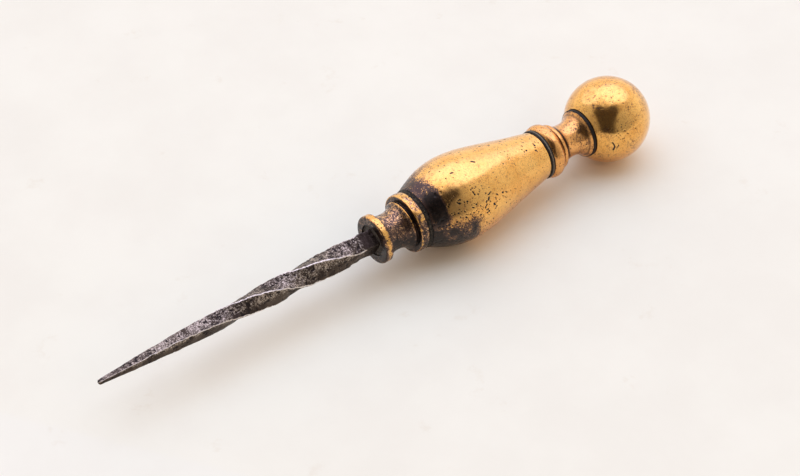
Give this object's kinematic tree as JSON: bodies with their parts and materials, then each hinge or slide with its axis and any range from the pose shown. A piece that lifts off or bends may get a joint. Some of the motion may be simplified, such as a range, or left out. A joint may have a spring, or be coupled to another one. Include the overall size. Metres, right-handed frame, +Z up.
{
  "type": "pricking awl",
  "caption": "Pricking awl: a twisted square steel spike in a turned brass handle with a pear-shaped grip, a beaded ferrule and collar, and a ball pommel that unscrews.",
  "frame": {"origin": "on the tool's axis, halfway between the point of the spike and the end of the ball", "axes": "+X along the axis from the point to the ball pommel, +Z up with the tool lying down, +Y to its left seen from the pommel"},
  "size_m": [0.184, 0.0252, 0.0252],
  "materials": {
    "forged_steel": "hand forged, dark and pitted, rubbed bright along its corners",
    "root_cement": "dull grey-green cement",
    "tarnished_brass": "tarnished brown-black and speckled, with bright rubbed rims",
    "grip_brass": "polished by use, pitted, with a black patina at the front end",
    "neck_brass": "coppery brown tarnish with polished beads",
    "ball_brass": "polished by use, lightly pitted",
    "black_leather": "blackened and waxy"
  },
  "bodies": {
    "awl": {"blade": "forged_steel", "root_packing": "root_cement", "front_ferrule": "tarnished_brass", "front_spacer_ring": "black_leather", "grip": "grip_brass", "rear_spacer_ring": "black_leather", "rear_neck": "neck_brass"},
    "pommel_washer": {"pommel_spacer_ring": "black_leather"},
    "pommel": {"pommel_ball": "ball_brass"}
  },
  "joints": [
    {"name": "pommel_travel", "type": "slide", "parent": "awl", "child": "pommel_washer", "axis": [1, 0, 0], "range_m": [0, 0.00635]},
    {"name": "pommel_turn", "type": "hinge", "parent": "pommel_washer", "child": "pommel", "pos_m": [0.0795, 0, 0], "axis": [1, 0, 0], "range_deg": [0, 2160]}
  ],
  "couplings": [
    {"joint": "pommel_travel", "follows": "pommel_turn", "m_per_rad": 0.00016839}
  ]
}
